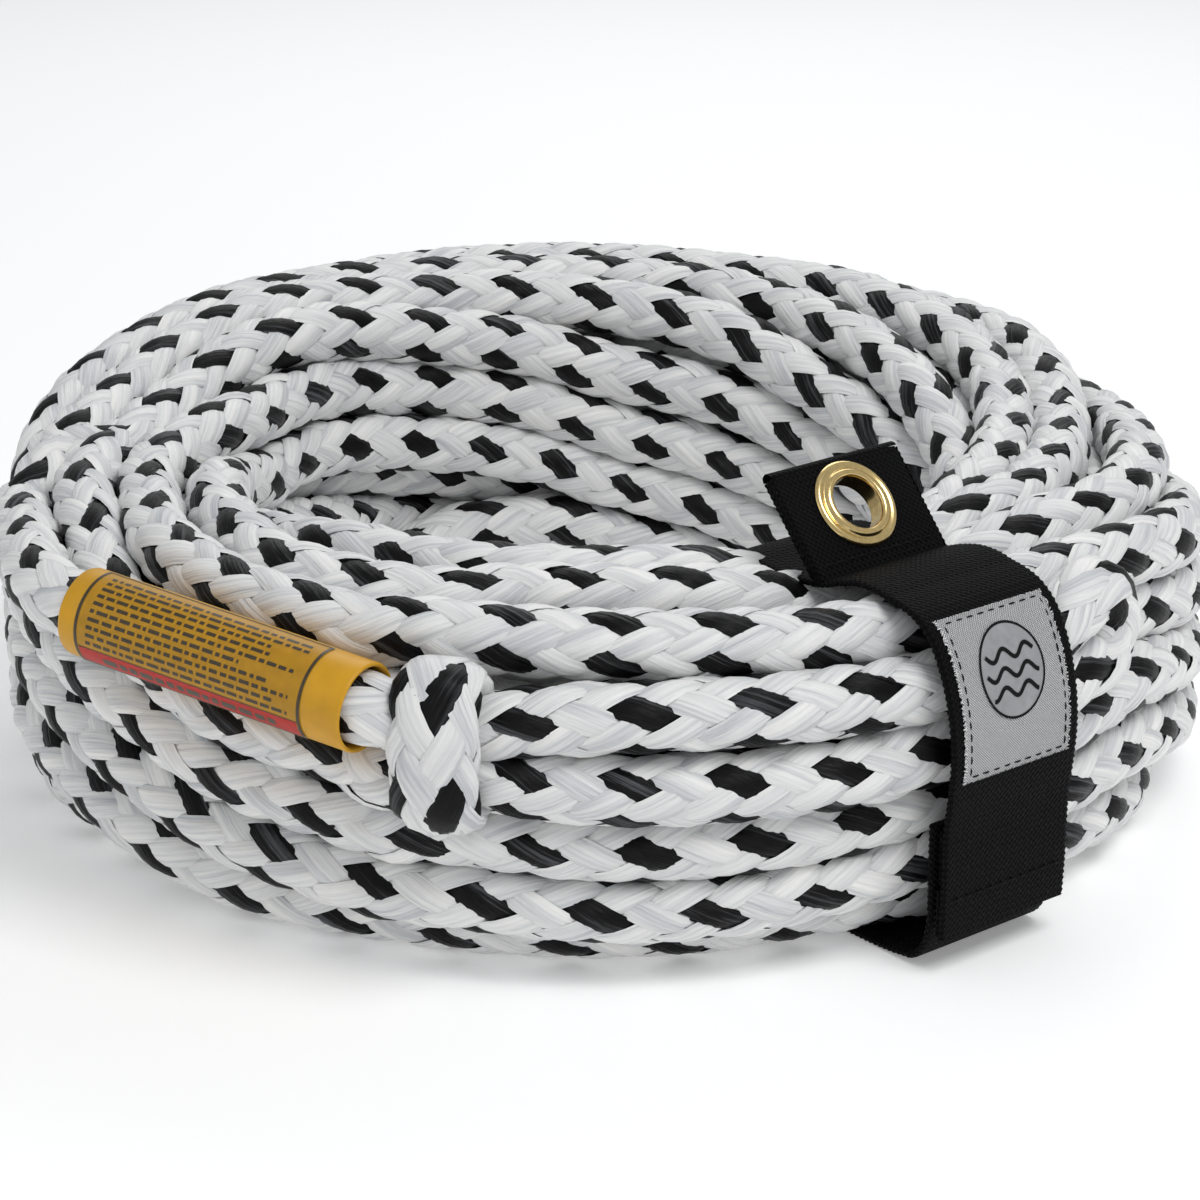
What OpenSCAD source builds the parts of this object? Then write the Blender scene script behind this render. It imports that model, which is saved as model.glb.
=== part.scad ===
// Coiled tube tow rope: hollow braid rope in one round hank, a spliced eye
// with a yellow warning sleeve behind it, and a webbing keeper closed by
// hook and loop, with a grommet tab to hang it by.
// Millimetres. +Z up, the hank lies on z = 0, its front faces -Y.

/* [Rope] */

// Diameter of the rope
rope_d = 16; // [15:0.5:16]
// Radius of the hank measured to the middle of the bundle
ring_r = 116; // [114:1:118]
// Spacing of the turns across the bundle
pitch_r = 13; // [12.6:0.2:13.4]
// Spacing of the turns up the bundle
pitch_z = 14.6; // [14.2:0.2:14.8]
// Radius of the two legs of the eye, round the hank
leg_r = 147.5; // [147.5:0.5:148]

/* [Sleeve] */

// Length of the warning sleeve
sleeve_len = 75; // [68:1:75]
// Outer diameter of the warning sleeve
sleeve_d = 20; // [19.6:0.2:20]
// Wall of the warning sleeve
sleeve_wall = 1; // [0.8:0.1:1]

/* [Keeper] */

// Width of the webbing
web_w = 38; // [36:1:38]
// Thickness of the webbing
web_t = 1.5; // [1.3:0.1:1.5]
// Height of the grommet tab
tab_len = 25; // [24.5:0.5:27]
// Lean of the tab towards the middle of the hank, degrees
tab_lean = 42; // [38:1:46]
// Width of the woven label
label_w = 29; // [26:1:30]

/* [Grommet] */

// Radius of the hole through the grommet
hole_r = 6.35; // [6:0.05:6.4]
// Outer radius of the grommet flange
flange_r = 11.3; // [11:0.1:11.5]

/* [Hidden] */

$fn = 64;
rope_r = rope_d / 2;
// Shift that centres the whole model over the origin
ring_y = 5.9;
ring_z = 44.5;
// Turns in each column of the bundle, inner column first
column_rows = [4, 5, 6, 5, 4];
groove_r = leg_r - rope_r - 1;

// Plane of the keeper: direction it faces, and its offset along the hank
web_face = 39;
web_off = -13;

// Axis of the sleeve, measured from the middle of the hank
sleeve_a = [-113, -108, 73];
sleeve_b = [-49, -147.5, 66];
sleeve_v = sleeve_b - sleeve_a;
sleeve_u = sleeve_v / norm(sleeve_v);

// The throat, where the rope turns round the two legs of the eye
throat_phi = -12.5;
throat_len = 20;

// Routes in the hank's own terms: [degrees from the front, radius, height]
lead_route = [
  [-78, 142, 69],
  [-71, 143.5, 71],
  [-64, 147, 72.5],
  [-58, 151.5, 73.5],
  [-52, 156, 73.8]
];
upper_leg = [
  [-10, leg_r, 61],
  [-4, leg_r, 63],
  [4, leg_r, 64],
  [14, leg_r, 64],
  [24, leg_r, 64],
  [34, leg_r, 65.4],
  [40, leg_r, 67.8],
  [44, leg_r, 72.2],
  [46.5, leg_r, 75]
];
bight = [
  [48.4, leg_r, 73.6],
  [49.6, leg_r, 70.5],
  [50, leg_r, 66],
  [49.6, leg_r, 61.5],
  [48.4, leg_r, 58.4]
];
lower_leg = [
  [46.5, leg_r, 57],
  [44, leg_r, 56],
  [40, leg_r, 53],
  [34, leg_r, 50],
  [24, leg_r, 47.5],
  [14, leg_r, 47],
  [4, leg_r, 47],
  [-4, leg_r, 48],
  [-10, leg_r, 50]
];

// Routes of the webbing across the bundle: [distance outwards, height]
strap_route = [
  [139.6, 79.9],
  [132, 79.8],
  [122, 79.2],
  [108, 78.7],
  [90.5, 78.7],
  [86, 77.6],
  [80, 74.8],
  [75.8, 70.6],
  [74, 65],
  [73.6, 58],
  [73.6, 28],
  [74.6, 22],
  [77.2, 16.2],
  [83, 9.6],
  [92, 3.6],
  [100, 1.2],
  [106, 0.75],
  [138, 0.75],
  [147.4, 2]
];
flap_route = [
  [141, 79.8],
  [148, 79.6],
  [154, 76.5],
  [157, 70],
  [158, 61],
  [158, 50],
  [157.4, 42],
  [156.3, 34],
  [156.4, 20],
  [156.4, 5]
];
label_route = [
  [154.2, 76.1],
  [157, 70],
  [158, 61],
  [158, 50],
  [157.4, 42],
  [157, 39.4]
];
tail_route = [
  [148.7, 3],
  [151.2, 6.6],
  [152.4, 12],
  [152.4, 24],
  [152.3, 35]
];
tab_base = [113.6, 81.4];
grommet_up = 12.6;

// ---- functions ----

function unit(v) = v / norm(v);
function on_hank(p) = [p[1] * sin(p[0]), -p[1] * cos(p[0]), p[2]];
function on_hank_all(list) = [for (p = list) on_hank(p)];

// Direction of a route at one of its points
function heading(list, i) =
  unit(list[min(i + 1, len(list) - 1)] - list[max(i - 1, 0)]);

// One ring of points round a route, kept level with the hank
function ring_points(list, i, r, sides) =
  let (
    h = heading(list, i),
    out = unit([list[i][0], list[i][1], 0]),
    across = unit(cross(h, out)),
    lift = cross(across, h)
  )
  [for (k = [0 : sides - 1])
    list[i] + r * (cos(360 * k / sides) * lift + sin(360 * k / sides) * across)];

// Points either side of a flat route, for a band of even thickness
function side_normal(list, i) =
  let (h = heading(list, i))
  [h[1], -h[0]];
function band_side(list, gap) =
  [for (i = [0 : len(list) - 1]) list[i] + gap * side_normal(list, i)];
function band(list, near, far) =
  let (
    a = band_side(list, near),
    b = band_side(list, far)
  )
  concat(a, [for (i = [len(b) - 1 : -1 : 0]) b[i]]);
function part_of(list, first, last) = [for (i = [first : last]) list[i]];

// ---- shared modules ----

module place() {
  translate([0, ring_y, 0]) children();
}

// Tube along a route, closed at both ends
module tube(list, r, sides) {
  n = len(list);
  points = [for (i = [0 : n - 1]) each ring_points(list, i, r, sides)];
  walls = [
    for (i = [0 : n - 2])
      for (k = [0 : sides - 1])
        let (
          a = i * sides + k,
          b = i * sides + (k + 1) % sides
        )
        each [[a, b, b + sides], [a, b + sides, a + sides]]
  ];
  first = [[for (k = [sides - 1 : -1 : 0]) k]];
  last = [[for (k = [0 : sides - 1]) (n - 1) * sides + k]];
  polyhedron(points = points, faces = concat(walls, first, last), convexity = 6);
}

// Frame of the keeper: x outwards, y along the hank, z up
module keeper_frame() {
  place()
    rotate([0, 0, web_face - 90])
      translate([0, web_off, 0])
        children();
}

// Band of webbing or tape across the bundle, shifted along the hank
module web(list, near, far, width, shift = 0) {
  keeper_frame()
    translate([0, shift, 0])
      rotate([90, 0, 0])
        linear_extrude(height = width, center = true)
          polygon(band(list, near, far));
}

// Frame of the tab: x along the tab's foot, y up the tab, z out of its face
module tab_frame() {
  keeper_frame()
    translate([tab_base[0], 0, tab_base[1]])
      rotate([0, -tab_lean, 0])
        rotate([90, 0, 90])
          children();
}

// Frame of the sleeve: z along it from its far end, x away from the floor
module sleeve_frame() {
  place()
    translate(sleeve_b - sleeve_u * sleeve_len)
      rotate([0, acos(sleeve_u[2]), atan2(sleeve_u[1], sleeve_u[0])])
        children();
}

module arc_ring(inner, outer, from, to, angle, start) {
  translate([0, 0, from])
    rotate([0, 0, start])
      rotate_extrude(angle = angle)
        translate([inner, 0])
          square([outer - inner, to - from]);
}

// Short stitches in a row along x
module stitch_row(count, pitch, long, wide, high) {
  for (i = [0 : count - 1])
    translate([(i - (count - 1) / 2) * pitch, 0, 0])
      cube([long, wide, high], center = true);
}

// ---- the rope ----

module bundle_outline() {
  half = (len(column_rows) - 1) / 2;
  for (c = [0 : len(column_rows) - 1])
    for (k = [0 : column_rows[c] - 1])
      translate([
        ring_r + (c - half) * pitch_r,
        ring_z + (k - (column_rows[c] - 1) / 2) * pitch_z
      ])
        circle(r = rope_r);
  polygon([
    [ring_r - 2 * pitch_r, ring_z - 1.5 * pitch_z],
    [ring_r, ring_z - 2.5 * pitch_z],
    [ring_r + 2 * pitch_r, ring_z - 1.5 * pitch_z],
    [ring_r + 2 * pitch_r, ring_z + 1.5 * pitch_z],
    [ring_r, ring_z + 2.5 * pitch_z],
    [ring_r - 2 * pitch_r, ring_z + 1.5 * pitch_z]
  ]);
}

// The hank of some two dozen turns, with room for the eye, sleeve and keeper
module rope_coil() {
  color([0.93, 0.93, 0.92])
    difference() {
      place() rotate_extrude() bundle_outline();
      // bed of the eye and the throat
      place()
        rotate([0, 0, -110])
          rotate_extrude(angle = 78)
            translate([groove_r, 38.4]) square([30, 60]);
      // bed of the sleeve
      sleeve_frame()
        translate([0, 0, -14])
          cylinder(r = sleeve_d / 2 + 1.2, h = sleeve_len + 24);
      // the bundle is pulled in where the keeper passes
      keeper_frame()
        translate([60, -web_w / 2 - 1, 77.6])
          cube([90, web_w + 2, 20]);
      keeper_frame()
        translate([60, -web_w / 2 - 1, -10])
          cube([90, web_w + 2, 11.8]);
    }
}

// The rope from the hank, through the sleeve, to the throat
module rope_lead() {
  route = concat(
    on_hank_all(lead_route),
    [sleeve_a + 2 * sleeve_u, sleeve_a + 38 * sleeve_u, sleeve_b - 1 * sleeve_u],
    [[-38, -150, 62]]
  );
  color([0.93, 0.93, 0.92])
    place() tube(route, rope_r, 12);
}

// The rope's own turn round the legs at the throat of the eye
module throat_turn() {
  corner = 7.5;
  low = [140.5, 38.8];
  size = [23, 38];
  color([0.95, 0.95, 0.93])
    place()
      rotate([0, 0, throat_phi - 90])
        rotate([90, 0, 0])
          linear_extrude(height = throat_len, center = true) {
            for (x = [corner, size[0] - corner])
              for (y = [corner, size[1] - corner])
                translate([low[0] + x, low[1] + y])
                  circle(r = corner);
            translate([low[0] + corner, low[1]])
              square([size[0] - 2 * corner, size[1]]);
            translate([low[0], low[1] + corner])
              square([size[0], size[1] - 2 * corner]);
          }
}

// Both legs of the eye and the bight between them
module eye_loop() {
  color([0.93, 0.93, 0.92])
    place()
      tube(on_hank_all(concat(upper_leg, bight, lower_leg)), rope_r, 12);
}

// ---- the warning sleeve ----

module warning_sleeve() {
  color([0.86, 0.62, 0.1])
    sleeve_frame()
      difference() {
        cylinder(r = sleeve_d / 2, h = sleeve_len);
        translate([0, 0, -1])
          cylinder(r = sleeve_d / 2 - sleeve_wall, h = sleeve_len + 2);
      }
}

module warning_label() {
  color([0.8, 0.56, 0.1])
    sleeve_frame()
      arc_ring(sleeve_d / 2 + 0.05, sleeve_d / 2 + 0.2,
        5, sleeve_len - 10, 160, -136);
}

module label_cover() {
  color([0.95, 0.93, 0.85, 0.5])
    sleeve_frame()
      arc_ring(sleeve_d / 2 + 0.25, sleeve_d / 2 + 0.4,
        3.5, sleeve_len - 8.5, 176, -140);
}

// ---- the keeper ----

module keeper_strap() {
  color([0.08, 0.08, 0.09])
    web(strap_route, -web_t / 2, web_t / 2, web_w);
}

module keeper_flap() {
  color([0.08, 0.08, 0.09])
    web(flap_route, -web_t / 2, web_t / 2, web_w);
}

// The end of the flap turned up behind itself
module flap_hem() {
  color([0.07, 0.07, 0.08])
    web(part_of(flap_route, 8, 9), web_t / 2, web_t / 2 + 1.1, web_w);
}

module hem_stitching() {
  color([0.16, 0.16, 0.17])
    keeper_frame()
      translate([156.4 + web_t / 2 + 0.27, 0, 19])
        rotate([0, 0, 90])
          stitch_row(11, 3.3, 2.2, 0.5, 0.5);
}

module keeper_tail() {
  color([0.08, 0.08, 0.09])
    web(tail_route, -web_t / 2, web_t / 2, web_w);
}

// Hook tape on the outside of the tail
module hook_patch() {
  color([0.05, 0.05, 0.05])
    keeper_frame()
      translate([152.4 + web_t / 2, -web_w / 2 + 2, 20.5])
        cube([0.6, web_w - 4, 13]);
}

module hook_stitching() {
  color([0.16, 0.16, 0.17])
    keeper_frame()
      for (z = [21.6, 32.4])
        translate([152.4 + web_t / 2 + 0.75, 0, z])
          rotate([0, 0, 90])
            stitch_row(10, 3.3, 2.2, 0.25, 0.4);
}

// Loop tape on the inside of the flap
module loop_patch() {
  color([0.05, 0.05, 0.05])
    web(part_of(flap_route, 7, 8), web_t / 2, web_t / 2 + 0.5, web_w - 4);
}

module loop_stitching() {
  color([0.16, 0.16, 0.17])
    keeper_frame()
      for (p = [[156.31, 32.4], [156.39, 21.8]])
        translate([p[0] - web_t / 2 - 0.66, 0, p[1]])
          rotate([0, 0, 90])
            stitch_row(10, 3.3, 2.2, 0.25, 0.4);
}

// ---- the grommet tab ----

// Two layers of webbing, one strip folded over at the top
module grommet_tab() {
  thick = 2 * web_t;
  color([0.08, 0.08, 0.09])
    tab_frame()
      difference() {
        union() {
          translate([-web_w / 2, 0, -thick / 2])
            cube([web_w, tab_len - thick / 2, thick]);
          translate([-web_w / 2, tab_len - thick / 2, 0])
            rotate([0, 90, 0])
              cylinder(r = thick / 2, h = web_w);
        }
        translate([0, grommet_up, -5]) cylinder(r = hole_r + 0.8, h = 10);
      }
}

module tab_stitching() {
  color([0.16, 0.16, 0.17])
    tab_frame()
      for (side = [-1, 1])
        translate([0, 0.7, side * (web_t + 0.17)])
          stitch_row(11, 3.3, 2.2, 0.5, 0.3);
}

// Barrel and rolled flange on the face of the tab
module grommet_eyelet() {
  thick = 2 * web_t;
  color([0.8, 0.65, 0.3])
    tab_frame()
      translate([0, grommet_up, 0])
        rotate_extrude() {
          translate([hole_r, -thick / 2 - 0.9])
            square([0.7, thick + 1.8]);
          translate([hole_r + 1, thick / 2 + 1.05]) circle(r = 1);
          translate([hole_r + 0.6, thick / 2 + 0.1])
            square([flange_r - hole_r - 1.2, 0.9]);
          translate([flange_r - 0.6, thick / 2 + 0.7]) circle(r = 0.6);
        }
}

// Washer clenched on the back of the tab
module grommet_washer() {
  thick = 2 * web_t;
  color([0.78, 0.63, 0.3])
    tab_frame()
      translate([0, grommet_up, 0])
        rotate_extrude() {
          translate([hole_r + 0.75, -thick / 2 - 0.8])
            square([flange_r - hole_r - 1.25, 0.7]);
          translate([flange_r - 0.5, -thick / 2 - 0.6]) circle(r = 0.5);
        }
}

// ---- the woven label ----

module woven_label() {
  color([0.85, 0.85, 0.86])
    web(label_route, -web_t / 2 - 0.08, -web_t / 2 - 0.43, label_w);
}

// Thread round the edge of the label
module label_stitching() {
  inner = -web_t / 2 - 0.45;
  color([0.1, 0.1, 0.1]) {
    for (side = [-1, 1])
      web(label_route, inner, inner - 0.2, 0.5, side * (label_w / 2 - 1));
    for (p = [[157.34, 73], [159.24, 42.6]])
      keeper_frame()
        translate([p[0], 0, p[1]])
          rotate([0, 0, 90])
            stitch_row(9, 2.9, 2, 0.3, 0.5);
  }
}

rope_coil();
rope_lead();
throat_turn();
eye_loop();
warning_sleeve();
warning_label();
label_cover();
keeper_strap();
keeper_flap();
flap_hem();
hem_stitching();
keeper_tail();
grommet_tab();
tab_stitching();
grommet_eyelet();
grommet_washer();
woven_label();
label_stitching();
hook_patch();
hook_stitching();
loop_patch();
loop_stitching();
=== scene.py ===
import bpy
import math
import numpy as np
from math import cos, sin, pi, radians
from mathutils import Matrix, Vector


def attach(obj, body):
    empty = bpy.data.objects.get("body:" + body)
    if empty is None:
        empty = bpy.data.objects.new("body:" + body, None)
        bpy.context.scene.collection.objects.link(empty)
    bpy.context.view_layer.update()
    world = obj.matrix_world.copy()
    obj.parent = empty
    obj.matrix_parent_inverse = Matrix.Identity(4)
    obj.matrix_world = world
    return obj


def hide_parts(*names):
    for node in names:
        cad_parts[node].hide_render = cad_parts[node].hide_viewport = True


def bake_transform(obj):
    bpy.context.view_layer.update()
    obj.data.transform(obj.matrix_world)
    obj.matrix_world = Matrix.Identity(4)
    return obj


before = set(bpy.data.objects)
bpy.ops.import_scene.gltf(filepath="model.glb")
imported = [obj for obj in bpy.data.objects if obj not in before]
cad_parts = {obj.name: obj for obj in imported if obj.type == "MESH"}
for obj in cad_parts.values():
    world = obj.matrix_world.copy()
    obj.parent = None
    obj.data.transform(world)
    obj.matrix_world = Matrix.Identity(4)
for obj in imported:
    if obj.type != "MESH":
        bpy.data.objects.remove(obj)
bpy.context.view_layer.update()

# ---------------------------------------------------------------- camera
# Lengths in this script are millimetres in the row frame and become metres when a mesh is made.
MM = 0.001
scene = bpy.context.scene


def add_camera():
    data = bpy.data.cameras.new("camera")
    cam = bpy.data.objects.new("camera", data)
    scene.collection.objects.link(cam)
    target = Vector((0, 0.0059, 0.035))
    up = radians(20.5)
    cam.location = target + 0.86 * Vector((0, -cos(up), sin(up)))
    cam.rotation_euler = (target - cam.location).to_track_quat("-Z", "Y").to_euler()
    data.sensor_width = 36
    data.lens = 102
    data.clip_start = 0.01
    scene.camera = cam


add_camera()


# ---------------------------------------------------------------- mesh helpers
def make_mesh(name, points, faces, material, uvs=None, smooth=True):
    """A mesh object from points in millimetres. uvs holds one pair for each point."""
    mesh = bpy.data.meshes.new(name)
    points = np.asarray(points, float) * MM
    faces = np.asarray(faces, np.int32)
    sides = faces.shape[1]
    mesh.vertices.add(len(points))
    mesh.vertices.foreach_set("co", points.astype(np.float32).ravel())
    mesh.loops.add(faces.size)
    mesh.loops.foreach_set("vertex_index", faces.ravel())
    mesh.polygons.add(len(faces))
    mesh.polygons.foreach_set("loop_start", np.arange(0, faces.size, sides, dtype=np.int32))
    mesh.polygons.foreach_set("use_smooth", np.full(len(faces), smooth))
    mesh.update(calc_edges=True)
    if uvs is not None:
        layer = mesh.uv_layers.new(name="UVMap")
        layer.data.foreach_set("uv", np.asarray(uvs, np.float32)[faces.ravel()].ravel())
    mesh.materials.append(material)
    mesh.validate()
    obj = bpy.data.objects.new(name, mesh)
    scene.collection.objects.link(obj)
    return obj


def grid_faces(rows, cols, wrap=False):
    """Quads of a grid of rows by cols points; wrap joins the last column to the first."""
    r, c = np.meshgrid(np.arange(rows - 1), np.arange(cols if wrap else cols - 1), indexing="ij")
    n = (c + 1) % cols
    this, after = r * cols, (r + 1) * cols
    return np.stack([this + c, this + n, after + n, after + c], -1).reshape(-1, 4)


class Build:
    """Collects several surfaces into one piece."""

    def __init__(self):
        self.points, self.faces, self.uvs, self.count = [], [], [], 0

    def add(self, points, faces, uvs=None):
        points = np.asarray(points, float).reshape(-1, 3)
        self.points.append(points)
        self.faces.append(np.asarray(faces, int) + self.count)
        self.uvs.append(np.zeros((len(points), 2)) if uvs is None else np.asarray(uvs, float).reshape(-1, 2))
        self.count += len(points)

    def piece(self, name, material, smooth=True):
        return make_mesh(name, np.concatenate(self.points), np.concatenate(self.faces), material,
                         np.concatenate(self.uvs), smooth)


def dress(piece, body, slot, *replaced):
    """Fixes a piece to its body and hides the CAD nodes it stands for; slot is not used."""
    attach(piece, body)
    if replaced:
        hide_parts(*replaced)


def spline(points, gap):
    """Points gap apart along a smooth line through the given ones, and the line's length."""
    p = np.asarray(points, float)
    step = np.linalg.norm(p[1:] - p[:-1], axis=1)
    p = p[np.concatenate([[True], step > 0.05 * gap])]
    q = np.concatenate([[2 * p[0] - p[1]], p, [2 * p[-1] - p[-2]]])
    out = []
    for i in range(1, len(q) - 2):
        a, b, c, e = q[i - 1], q[i], q[i + 1], q[i + 2]
        t1 = np.linalg.norm(b - a) ** 0.5
        t2 = t1 + np.linalg.norm(c - b) ** 0.5
        t3 = t2 + np.linalg.norm(e - c) ** 0.5
        many = max(2, int(np.linalg.norm(c - b) / (0.4 * gap)))
        t = np.linspace(t1, t2, many, endpoint=False)[:, None]
        a1 = (t1 - t) / t1 * a + t / t1 * b
        a2 = (t2 - t) / (t2 - t1) * b + (t - t1) / (t2 - t1) * c
        a3 = (t3 - t) / (t3 - t2) * c + (t - t2) / (t3 - t2) * e
        b1 = (t2 - t) / t2 * a1 + t / t2 * a2
        b2 = (t3 - t) / (t3 - t1) * a2 + (t - t1) / (t3 - t1) * a3
        out.append((t2 - t) / (t2 - t1) * b1 + (t - t1) / (t2 - t1) * b2)
    out.append(p[-1:])
    fine = np.concatenate(out)
    s = np.concatenate([[0], np.cumsum(np.linalg.norm(fine[1:] - fine[:-1], axis=1))])
    at = np.linspace(0, s[-1], max(2, int(round(s[-1] / gap)) + 1))
    return np.stack([np.interp(at, s, fine[:, i]) for i in range(p.shape[1])], -1), s[-1]


def metres(p):
    """A point in metres."""
    return [float(x) * MM for x in p]


def units(v):
    """The same vectors, one long."""
    return v / np.maximum(np.linalg.norm(v, axis=-1, keepdims=True), 1e-9)


# ---------------------------------------------------------------- materials
def new_material(name):
    mat = bpy.data.materials.new(name)
    mat.use_nodes = True
    tree = mat.node_tree
    return mat, tree, tree.nodes["Principled BSDF"]


def set_inputs(shader, values):
    for name, value in values.items():
        shader.inputs[name].default_value = value


def node(tree, kind, **sets):
    n = tree.nodes.new(kind)
    for key, value in sets.items():
        if hasattr(n, key) and key not in n.inputs:
            setattr(n, key, value)
        else:
            n.inputs[key].default_value = value
    return n


def ramp(tree, source, stops):
    n = tree.nodes.new("ShaderNodeValToRGB")
    el = n.color_ramp.elements
    while len(el) < len(stops):
        el.new(0.5)
    for e, (at, col) in zip(el, stops):
        e.position = at
        e.color = (*col, 1) if len(col) == 3 else col
    tree.links.new(source, n.inputs["Fac"])
    return n.outputs["Color"]


def stretched_noise(tree, scale, across, along, detail=3.0, rough=0.6, source="UV"):
    """Noise drawn out along v, as fibres are."""
    coords = node(tree, "ShaderNodeTexCoord")
    mapping = node(tree, "ShaderNodeMapping")
    mapping.inputs["Scale"].default_value = (across, along, 1)
    tree.links.new(coords.outputs[source], mapping.inputs["Vector"])
    noise = node(tree, "ShaderNodeTexNoise", Scale=scale, Detail=detail, Roughness=rough)
    tree.links.new(mapping.outputs["Vector"], noise.inputs["Vector"])
    return noise.outputs["Fac"]


def bump(tree, shader, heights):
    """Chains bumps, each (height socket, strength, distance in metres), into the shader's normal."""
    last = None
    for height, strength, distance in heights:
        n = node(tree, "ShaderNodeBump", Strength=strength, Distance=distance)
        tree.links.new(height, n.inputs["Height"])
        if last is not None:
            tree.links.new(last, n.inputs["Normal"])
        last = n.outputs["Normal"]
    tree.links.new(last, shader.inputs["Normal"])


def fibre_material(name, stops, rough, striation, sheen=0.0, spec=0.5, scatter=0.0):
    mat, tree, sh = new_material(name)
    fine = stretched_noise(tree, 1.0, 9.0, 0.35, 4.0, 0.65)
    broad = stretched_noise(tree, 1.0, 1.4, 0.12, 2.0, 0.5)
    mix = node(tree, "ShaderNodeMath", operation="ADD")
    tree.links.new(fine, mix.inputs[0])
    tree.links.new(broad, mix.inputs[1])
    half = node(tree, "ShaderNodeMath", operation="MULTIPLY")
    half.inputs[1].default_value = 0.5
    tree.links.new(mix.outputs[0], half.inputs[0])
    tree.links.new(ramp(tree, half.outputs[0], stops), sh.inputs["Base Color"])
    set_inputs(sh, {"Roughness": rough, "Specular IOR Level": spec, "Sheen Weight": sheen,
                    "Sheen Roughness": 0.4})
    if scatter:
        set_inputs(sh, {"Subsurface Weight": scatter, "Subsurface Radius": (1, 1, 1),
                        "Subsurface Scale": 0.0012})
    bump(tree, sh, [(broad, 0.6, 0.0010), (fine, striation, 0.0006)])
    return mat


def plain_material(name, colour, rough, spec=0.5, metal=0.0, grain=0.0, grain_scale=400.0):
    mat, tree, sh = new_material(name)
    set_inputs(sh, {"Roughness": rough, "Specular IOR Level": spec, "Metallic": metal})
    coords = node(tree, "ShaderNodeTexCoord")
    noise = node(tree, "ShaderNodeTexNoise", Scale=grain_scale, Detail=4.0, Roughness=0.6)
    tree.links.new(coords.outputs["Object"], noise.inputs["Vector"])
    low = tuple(c * 0.86 for c in colour)
    high = tuple(min(1, c * 1.08) for c in colour)
    tree.links.new(ramp(tree, noise.outputs["Fac"], [(0.3, low), (0.7, high)]), sh.inputs["Base Color"])
    if grain:
        bump(tree, sh, [(noise.outputs["Fac"], grain, 0.0003)])
    return mat


def webbing_material(name, colour, rib):
    """Woven tape: UV is in millimetres, u across and v along."""
    mat, tree, sh = new_material(name)
    coords = node(tree, "ShaderNodeTexCoord")
    split = node(tree, "ShaderNodeSeparateXYZ")
    tree.links.new(coords.outputs["UV"], split.inputs[0])

    def wave(socket, period, phase=0.0):
        m = node(tree, "ShaderNodeMath", operation="MULTIPLY_ADD")
        tree.links.new(socket, m.inputs[0])
        m.inputs[1].default_value = 2 * pi / period
        m.inputs[2].default_value = phase
        s = node(tree, "ShaderNodeMath", operation="SINE")
        tree.links.new(m.outputs[0], s.inputs[0])
        return s.outputs[0]

    product = node(tree, "ShaderNodeMath", operation="MULTIPLY")
    tree.links.new(wave(split.outputs[0], 2 * rib), product.inputs[0])
    tree.links.new(wave(split.outputs[1], 2 * rib), product.inputs[1])
    fine = stretched_noise(tree, 1.0, 3.0, 9.0, 3.0, 0.6)
    add = node(tree, "ShaderNodeMath", operation="MULTIPLY_ADD")
    tree.links.new(fine, add.inputs[0])
    add.inputs[1].default_value = 0.7
    tree.links.new(product.outputs[0], add.inputs[2])
    low = tuple(c * 0.55 for c in colour)
    high = tuple(c * 1.7 for c in colour)
    tree.links.new(ramp(tree, add.outputs[0], [(0.0, low), (1.0, high)]), sh.inputs["Base Color"])
    set_inputs(sh, {"Roughness": 0.6, "Specular IOR Level": 0.08})
    bump(tree, sh, [(add.outputs[0], 0.9, 0.0004)])
    return mat


WHITE_STOPS = [(0.37, (0.50, 0.515, 0.54)), (0.5, (0.76, 0.763, 0.76)), (0.63, (0.92, 0.912, 0.885))]
# The black strands' lightest stop is painted highlight: grey glints streaked along the fibres.
BLACK_GLINT_STOPS = [(0.42, (0.0012, 0.0012, 0.0014)), (0.53, (0.004, 0.004, 0.0045)), (0.63, (0.09, 0.093, 0.10))]
WHITE = fibre_material("braid_white", WHITE_STOPS, 0.45, 0.8, 0.1, 0.4, 0.1)
BLACK = fibre_material("braid_black", BLACK_GLINT_STOPS, 0.34, 1.0, 0.0, 0.15)
CORE = fibre_material("braid_core", [(0.3, (0.42, 0.43, 0.45)), (0.7, (0.6, 0.61, 0.63))], 0.6, 0.3)
WEB = webbing_material("webbing_black", (0.004, 0.004, 0.0045), 0.75)
THREAD = plain_material("thread_black", (0.005, 0.005, 0.0055), 0.7, 0.15)
PALE_THREAD = plain_material("thread_pale", (0.7, 0.7, 0.7), 0.6)
YELLOW = plain_material("sleeve_yellow", (0.64, 0.325, 0.012), 0.42, 0.35, 0.0, 0.05, 90.0)
AMBER = plain_material("print_amber", (0.47, 0.235, 0.006), 0.4, 0.3)
INK = plain_material("print_black", (0.03, 0.02, 0.008), 0.4)
RED = plain_material("print_red", (0.46, 0.005, 0.005), 0.4, 0.25)
BRASS = plain_material("brass", (0.80, 0.60, 0.27), 0.2, 0.5, 1.0, 0.04, 900.0)
SATIN = webbing_material("label_white", (0.66, 0.66, 0.67), 0.3)
MARK_GREY = plain_material("mark_grey", (0.30, 0.30, 0.31), 0.6)
PILE = plain_material("hook_loop_black", (0.006, 0.006, 0.0065), 0.9, 0.2, 0.0, 0.6, 1500.0)


# ---------------------------------------------------------------- the hank's own terms
# Places on the hank are [degrees from the front, radius, height] about its own middle.
RING_Y = 5.9                    # the hank's middle in the row frame
RING_R = 116.0                  # radius of the bundle's middle
STEP = 3.0                      # degrees between two places where the turns are packed
PER_TURN = int(360 / STEP)
THROAT_PHI = -12.5              # where the rope goes round the legs of its eye
WEB_FACE = 39.0                 # direction in which the keeper faces
NEAR = 15.4                     # distance kept between the middles of two turns
LOWEST = 8.0                    # height of the middle of a turn that lies on the floor

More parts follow.
